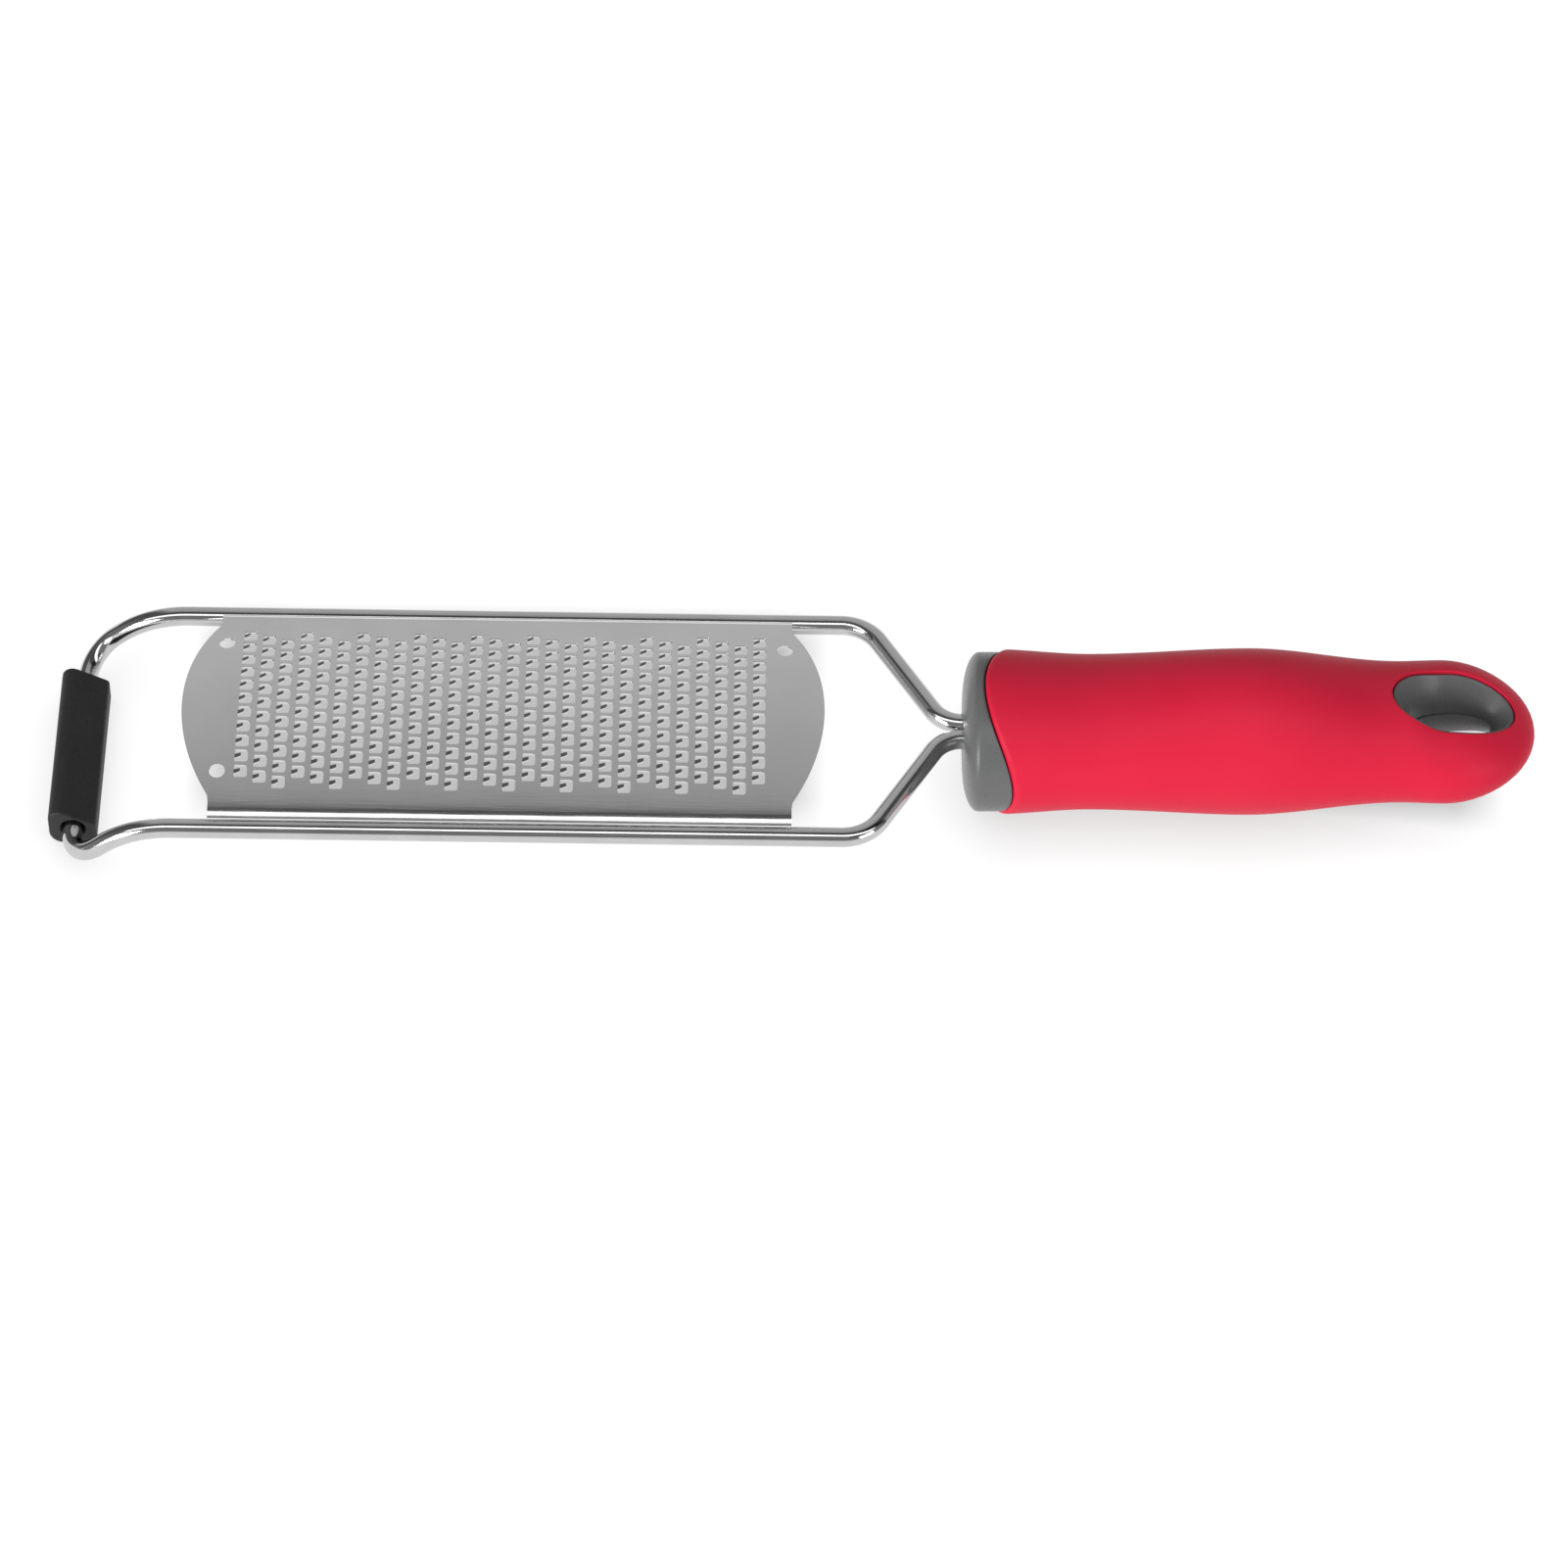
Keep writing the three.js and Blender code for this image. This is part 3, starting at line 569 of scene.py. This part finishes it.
def eased(values, share):
    # smooth steps between the stations
    at = np.array(handle["at"])
    values = np.array(values, float)
    i = np.clip(np.searchsorted(at, share, side="right") - 1, 0, len(at) - 2)
    u = smoothStep((share - at[i]) / (at[i + 1] - at[i]))
    return values[i] + (values[i + 1] - values[i]) * u


def axisZ(x):
    # the handle's axis is a straight climb
    return railZ + handle["rise"] * (x - handleFront) / handleLength


def section(x, inset):
    # half width, half height and squareness of the handle at x, drawn in by inset
    # the tail is rounded off as an ellipse
    share = np.clip((x - handleFront) / handleLength, 0, 1)
    tail = np.clip((x - (handleTail - inset - handle["tailLength"])) / handle["tailLength"], 0, 1)
    taper = np.sqrt(np.maximum(1 - tail**2, 0))
    halfWidth = (eased(handle["width"], share) / 2 - inset) * taper
    halfHeight = (eased(handle["height"], share) / 2 - inset) * taper
    return halfWidth, halfHeight, eased(handle["square"], share)


def upperHeight(x, y, inset):
    # height of the upper surface over its axis: an oval whose power makes it squarer
    halfWidth, halfHeight, power = section(x, inset)
    t = np.clip(np.abs(y) / np.maximum(halfWidth, 1e-6), 0, 1)  # no width is left at the very tail
    return halfHeight * (1 - t**power) ** (1 / power)


def edgeX(y):
    # front edge of the grip in plan: a parabola, furthest forward on the centre line
    return handleFront + handle["collarLength"] + handle["collarSweep"] * (y / (handle["width"][0] / 2)) ** 2


def ovalRing(x, inset):
    # closed ring round the handle, an ellipse, at given places along it
    a = fullTurn(2 * handle["columns"])
    halfWidth, halfHeight, _ = section(x, inset)
    return np.stack([x, -halfWidth * np.cos(a), axisZ(x) + halfHeight * np.sin(a)], axis=1)


def frontRing(inset, back):
    # such a ring along the swept front edge; back is how far it lies behind that edge
    x = np.full(2 * handle["columns"], handleFront + handle["collarLength"])
    for _ in range(handle["sweepRounds"]):
        ring = ovalRing(x, inset)
        x = edgeX(ring[:, 1]) + back
    ring[:, 0] = x
    return ring


def holeAngle(points, half):
    # angle round the hole's oval of points in plan
    return np.arctan2((points[:, 1] - handle["holeShift"]) / half[1], (points[:, 0] - holeX) / half[0])


def holeOval(angle, half):
    # points in plan of one oval round the hole's middle, or of several
    across = handle["holeShift"] + half[..., 1:] * np.sin(angle)
    return np.stack([holeX + half[..., :1] * np.cos(angle), across], axis=-1)


def sheetRows(inset, split, back):
    # straight rows from the swept front edge to the split; the cosine crowds their points at the sides
    t = -np.cos(np.linspace(0, math.pi, handle["columns"] + 1))
    share = np.linspace(0, 1, handle["rows"])[:, None]
    x = np.repeat(handleFront + (split - handleFront) * share, len(t), axis=1)
    for _ in range(handle["sweepRounds"]):
        y = section(x, inset)[0] * t
        start = edgeX(y[0]) + back
        x = start + (split - start) * share
    rows = np.stack([x, y, upperHeight(x, y, inset)], axis=2)
    rows[:, [0, -1], 2] = 0
    return rows


def sheetRings(inset, split, lastRow, half, rimRound):
    # rings from the hole's rounded rim out to the last row, the sides and the tail
    tailX = handleTail - inset - handle["tailLength"]
    sideX = np.concatenate([
        np.linspace(split, tailX, handle["sideSteps"] + 1)[1:-1],
        tailX + handle["tailLength"] * np.sin(quarterTurn(handle["tailSteps"])),
    ])
    sideY = section(sideX, inset)[0]
    edge = np.concatenate([
        lastRow[:, :2], np.stack([sideX, sideY], axis=1), np.stack([sideX, -sideY], axis=1)[-2::-1],
    ])
    rim = holeOval(holeAngle(edge, half), half)
    way = edge - rim
    length = np.linalg.norm(way, axis=1)
    roll = quarterTurn(handle["rimSteps"])[:, None]
    share = np.sin(quarterTurn(handle["ringSteps"]))[1:, None]
    distance = np.concatenate([
        rimRound * (1 - np.cos(roll)) * np.ones_like(length), rimRound + share * (length - rimRound),
    ])
    drop = np.concatenate([rimRound * (1 - np.sin(roll)), np.zeros(share.shape)])
    plan = rim + way * (distance / length)[:, :, None]
    height = upperHeight(plan[:, :, 0], plan[:, :, 1], inset)
    height[-1, :len(lastRow)] = lastRow[:, 2]
    height[-1, len(lastRow):] = 0
    return np.concatenate([plan, (height - drop)[:, :, None]], axis=2)


def handleSheet(inset, half, back, rimRound):
    # upper sheet over the plan, as rows and rings of x, y and height over the axis
    split = holeX - half[0] - handle["ringRoom"]
    rows = sheetRows(inset, split, back)
    return rows, sheetRings(inset, split, rows[-1], half, rimRound)


def bothSides(grid, sign):
    # heights over the axis as points of the upper or the lower half
    x, y, height = np.moveaxis(grid, 2, 0)
    return np.stack([x, y, axisZ(x) + sign * height], axis=2)


def sheetPatches(rows, rings, outward):
    # upper and lower half of a sheet that faces outward or inward
    patches = []
    for sign in (1, -1):
        flip = (sign > 0) != outward
        patches.append(gridPatch(bothSides(rows, sign), flip=flip))
        patches.append(gridPatch(bothSides(rings, sign), closeColumns=True, flip=flip))
    return patches


# Grip: red soft-touch skin over the core
grip = {
    "finish": "redSoftTouch", "colors": ((0.605, 0.013, 0.043), (0.635, 0.017, 0.049)),
    "metallic": 0, "shine": 0.12, "roughness": (0.43, 0.52), "roughnessFrom": "Grain",
    "stretch": (1, 1, 1), "grainScale": 2600, "mottleScale": 35, "bump": (0.12, 0.0001), "sharpAngle": 50,
}


def handleGrip():
    # outer and inner sheet, joined round the hole and along the front lip
    r = handle["lipRound"]
    outer = handleSheet(0, holeHalf, r, handle["holeRound"])
    inner = handleSheet(handle["gripThickness"], holeHalf, 0, handle["sharpRim"])
    patches = sheetPatches(*outer, True) + sheetPatches(*inner, False)
    # walls of the hole, between the outer and the inner sheet
    for sign in (1, -1):
        wall = np.stack([bothSides(rings[:1], sign)[0] for _, rings in (outer, inner)])
        patches.append(gridPatch(wall, closeColumns=True, flip=sign > 0))
    # rounded front lip and the front face behind it
    lip = [frontRing(r * (1 - math.cos(a)), r * (1 - math.sin(a))) for a in quarterTurn(handle["lipSteps"])]
    lip.append(frontRing(handle["gripThickness"], 0))
    patches.append(gridPatch(np.stack(lip), closeColumns=True))
    points, quads = weld(*joinPatches(patches), digits=2)
    makePiece("handleGrip", "handle_grip", points, quads, grip)


# Core: rigid grey moulding that shows as the collar and as the liner of the hole
core = {
    "linerGap": 0.2, "linerWall": 0.4, "lowerWall": 1.7, "linerSink": 0.3, "holeDraft": 3.6,
    "linerLedge": 0.4, "ledgeRise": 0.3, "rimBevel": 0.15, "draftSteps": 11,
    "collarStep": 0.6, "collarEdge": 0.25, "collarRound": 3.2, "collarCrown": 8.8, "roundSteps": 9,
    # rings on the collar's side and on its front face, by share of the way
    "sideSplits": (0.35, 0.7), "faceSplits": (0.6, 0.25, 0),
    "finish": "greyPlastic", "colors": ((0.11, 0.112, 0.112), (0.126, 0.128, 0.128)),
    "metallic": 0, "shine": 0.28, "roughness": (0.24, 0.38), "roughnessFrom": "Grain",
    "stretch": (1, 1, 1), "grainScale": 3000, "mottleScale": 60, "bump": (0.3, 0.0001), "sharpAngle": 50,
}


def holeLiner(rim, half):
    # from the body up the outer wall to the rim, over it, down the drafted hole to a ledge and to the middle
    angle = holeAngle(rim, half)
    top = upperHeight(rim[:, 0], rim[:, 1], 0) - handle["holeRound"] - core["linerSink"]
    ledgeTop = np.full(top.shape, core["ledgeRise"])
    share = np.linspace(0, 1, core["draftSteps"] + 1)[1:]
    heights = np.concatenate([
        [rim[:, 2], top - core["rimBevel"], top, top],
        top + (ledgeTop - top) * share[:, None], [ledgeTop, np.zeros(top.shape)],
    ])
    narrow = core["linerWall"] + core["holeDraft"]
    ledge = narrow + core["linerLedge"]
    patches = []
    for sign, wall in ((1, core["linerWall"]), (-1, core["lowerWall"])):
        draft = wall + (narrow - wall) * np.sin(share * math.pi / 2)
        offsets = np.concatenate([[0, 0, core["rimBevel"], wall], draft, [ledge, ledge]])
        plan = holeOval(angle, half - offsets[:, None])
        liner = np.concatenate([plan, heights[:, :, None]], axis=2)
        patches.append(gridPatch(bothSides(liner, sign), closeColumns=True, flip=sign > 0))
    return patches


def frontCollar(inset):
    # out from the body, forward to the rounded front edge and in to the middle of the front face
    step, edge = core["collarStep"], core["collarEdge"]
    gap = -handle["skinGap"]
    starts = ((inset, 0), (inset, gap), (step + edge, gap), (step, gap - edge))
    rings = [frontRing(*start) for start in starts]
    roundX = handleFront + core["collarRound"]
    backX = rings[-1][:, 0]
    rings += [ovalRing(backX + (roundX - backX) * share, step) for share in core["sideSplits"]]
    for a in quarterTurn(core["roundSteps"]):
        x = np.full(backX.shape, roundX - core["collarRound"] * math.sin(a))
        rings.append(ovalRing(x, step + core["collarCrown"] * (1 - math.cos(a))))
    face = rings[-1]
    middle = np.array([handleFront, 0, railZ])
    rings += [middle + (face - middle) * share for share in core["faceSplits"]]
    return gridPatch(np.stack(rings), closeColumns=True)


def handleCore():
    # body under the skin, with the liner of the hole and the collar
    inset = handle["gripThickness"] + handle["skinGap"]
    half = holeHalf - core["linerGap"]
    rows, rings = handleSheet(inset, half, 0, handle["sharpRim"])
    patches = sheetPatches(rows, rings, True) + holeLiner(rings[0], half) + [frontCollar(inset)]
    points, quads = weld(*joinPatches(patches), digits=2)
    makePiece("handleCore", "handle_core", points, quads, core)


gratingPlate()
frameRod()
tipFoot()
handleGrip()
handleCore()
print("stage: object built")


# Stage and light, in metres apart from the painted shadow boxes
stage = {
    "floorSize": 4, "floorColor": (0.92, 0.92, 0.92), "floorRoughness": 0.9,
    # reach and span of the painted contact shade that darkens the floor's glow under the object
    "glow": 0.97, "litColor": (0.08, 0.08, 0.08), "paintedContactShadeReach": 0.014, "paintedContactShadeSpan": (-0.3, 0.9),
    # painted shadow boxes on the floor, standing in for the front light's shadow: node, inset of its ends,
    # shift to the far side
    "paintedShadowBoxes": (("grating_plate", 4, 16), ("handle_grip", 9, 10)), "paintedShadowSoft": 5, "paintedShadeLeast": 0.49,
    # dome by angle round the X axis: far horizon, overhead, near horizon
    "dome": (
        (0, 0.55), (0.09, 0.6), (0.17, 0.62), (0.28, 0.55), (0.36, 0.48), (0.425, 0.42), (0.44, 0.1),
        (0.56, 0.1), (0.575, 0.27), (0.93, 0.25), (0.96, 0.85), (1, 0.9),
    ),
    # the dome dims in two places, on the far left and up to the right: where each starts and is full
    "dimPatches": (
        (("X", (-0.32, -0.5)), ("Y", (0.12, 0.25))),
        (("X", (0.2, 0.4)), ("Z", (0.5, 0.65))),
    ),
    "dimming": 0.8,
    # soft boxes: name, place, size, power
    "lamps": (
        ("frontRight", (0.95, -0.85, 0.42), (0.6, 0.5), 4.5),
        ("frontLeft", (-0.95, -0.85, 0.42), (0.6, 0.5), 15.5),
        ("overheadStrip", (0, -0.42, 1.0), (2.4, 0.34), 4.9),
    ),
}
white = (1, 1, 1, 1)


def glowWithPaintedShade(tree):
    # the floor's glow: least under painted contact shade where the object is close above, and in soft boxes
    # of painted shadow behind the plate and the handle
    # painted contact shade: occlusion by the nearby object darkens the floor's glow
    close = addNode(tree, "ShaderNodeAmbientOcclusion", {"Distance": stage["paintedContactShadeReach"]})
    paintedContactShade = remap(tree, close.outputs["AO"], stage["paintedContactShadeSpan"])
    place = addNode(tree, "ShaderNodeTexCoord").outputs["Object"]
    axes = addNode(tree, "ShaderNodeSeparateXYZ", {0: place}).outputs
    soft = stage["paintedShadowSoft"]
    paintedShadow = 0
    # painted shadow: each soft box darkens the floor's glow behind its part
    for node, inset, shift in stage["paintedShadowBoxes"]:
        low, high = nodeBox(node)
        edges = (
            ("X", low[0] + inset, soft), ("X", high[0] - inset, -soft),
            ("Y", low[1] + shift, soft), ("Y", high[1] + shift, -soft),
        )
        box = 1
        for axis, at, run in edges:
            side = remap(tree, axes[axis], ((at - run) * mm, (at + run) * mm))
            box = combine(tree, "MULTIPLY", box, side)
        paintedShadow = combine(tree, "MAXIMUM", paintedShadow, box)
    openness = combine(tree, "MINIMUM", paintedContactShade, combine(tree, "SUBTRACT", 1, paintedShadow))
    return remap(tree, openness, (0, 1), (stage["paintedShadeLeast"], stage["glow"]))


def paleFloor():
    # plain pale floor for the light; the eye and mirrors see it white, darkened by painted shade under and
    # behind the object
    half = stage["floorSize"] / 2
    mesh = bpy.data.meshes.new("floor")
    corners = [(-half, -half, 0), (half, -half, 0), (half, half, 0), (-half, half, 0)]
    mesh.from_pydata(corners, [], [(0, 1, 2, 3)])
    floor = bpy.data.objects.new("floor", mesh)
    bpy.context.scene.collection.objects.link(floor)
    material, tree, shader = newMaterial("paleFloor")
    fillInputs(tree, shader, {"Base Color": (*stage["floorColor"], 1), "Roughness": stage["floorRoughness"]})
    path = addNode(tree, "ShaderNodeLightPath").outputs
    seen = combine(tree, "MAXIMUM", path["Is Camera Ray"], path["Is Glossy Ray"])
    seen = combine(tree, "MAXIMUM", seen, path["Is Transmission Ray"])
    glow = addNode(tree, "ShaderNodeEmission", {"Color": white, "Strength": glowWithPaintedShade(tree)})
    lit = addNode(tree, "ShaderNodeBsdfDiffuse", {"Color": (*stage["litColor"], 1)})
    both = addNode(tree, "ShaderNodeAddShader", {0: glow.outputs[0], 1: lit.outputs[0]})
    pick = addNode(tree, "ShaderNodeMixShader", {0: seen, 1: shader.outputs[0], 2: both.outputs[0]})
    fillInputs(tree, tree.nodes["Material Output"], {"Surface": pick.outputs[0]})
    mesh.materials.append(material)


def skyLight():
    # soft dome, graded by the angle round the X axis: pale behind the object, dark overhead,
    # dim on the near side and bright along the near horizon; the eye sees it plain white
    world = bpy.data.worlds.new("studioDome")
    bpy.context.scene.world = world
    world.use_nodes = True
    tree = world.node_tree
    place = addNode(tree, "ShaderNodeTexCoord").outputs["Generated"]
    axes = addNode(tree, "ShaderNodeSeparateXYZ", {0: place}).outputs
    turn = combine(tree, "ARCTAN2", axes["Z"], axes["Y"])
    ramp = addNode(tree, "ShaderNodeValToRGB", {"Fac": combine(tree, "DIVIDE", turn, math.pi)})
    stops = ramp.color_ramp.elements
    for position, _ in stage["dome"][1:-1]:
        stops.new(position)
    for stop, (position, level) in zip(stops, stage["dome"]):
        stop.position = position
        stop.color = (level, level, level, 1)
    dim = 0
    for patch in stage["dimPatches"]:
        sides = [remap(tree, axes[axis], span) for axis, span in patch]
        dim = combine(tree, "MAXIMUM", dim, combine(tree, "MULTIPLY", *sides))
    strength = combine(tree, "SUBTRACT", 1, combine(tree, "MULTIPLY", dim, stage["dimming"]))
    seen = addNode(tree, "ShaderNodeLightPath").outputs["Is Camera Ray"]
    fillInputs(tree, tree.nodes["Background"], {
        "Color": mixColors(tree, seen, ramp.outputs["Color"], white),
        "Strength": combine(tree, "MAXIMUM", strength, seen),
    })


def softBox(name, at, size, power):
    # rectangle of light that faces the frame's origin, under the middle of the object
    light = bpy.data.lights.new(name, "AREA")
    light.shape = "RECTANGLE"
    light.size, light.size_y = size
    light.energy = power
    lamp = bpy.data.objects.new(name, light)
    lamp.location = at
    lamp.rotation_euler = (-Vector(at)).to_track_quat("-Z", "Y").to_euler()
    bpy.context.scene.collection.objects.link(lamp)


# Camera: degrees, millimetres and the photograph's own pixels
view = {
    "elevation": 50.056, "yaw": 0.809, "roll": 1.419, "distance": 1243.6, "fromPlate": (56.52, -19.92),
    "focalPixels": 6375.6, "imagePixels": 1601, "sensor": 36,
}


def photoCamera():
    # looks down across the plate from the near side, turned and rolled a little, as in the photograph
    down, yaw, roll = (math.radians(view[k]) for k in ("elevation", "yaw", "roll"))
    ahead = Vector((math.sin(yaw) * math.cos(down), math.cos(yaw) * math.cos(down), -math.sin(down)))
    level = Vector((math.cos(yaw), -math.sin(yaw), 0))
    upright = level.cross(ahead)
    right = math.cos(roll) * level + math.sin(roll) * upright
    up = -math.sin(roll) * level + math.cos(roll) * upright
    along, across = view["fromPlate"]
    target = Vector((plateMiddle + along, across, plateCrown)) * mm
    place = target - ahead * view["distance"] * mm
    data = bpy.data.cameras.new("photoCamera")
    data.sensor_width = view["sensor"]
    data.lens = view["focalPixels"] / view["imagePixels"] * view["sensor"]
    camera = bpy.data.objects.new("photoCamera", data)
    camera.matrix_world = Matrix((
        (right.x, up.x, -ahead.x, place.x), (right.y, up.y, -ahead.y, place.y),
        (right.z, up.z, -ahead.z, place.z), (0, 0, 0, 1),
    ))
    bpy.context.scene.collection.objects.link(camera)
    bpy.context.scene.camera = camera


paleFloor()
skyLight()
for lamp in stage["lamps"]:
    softBox(*lamp)
photoCamera()
bpy.context.scene.view_settings.view_transform = "Standard"
print("stage: light and camera set")
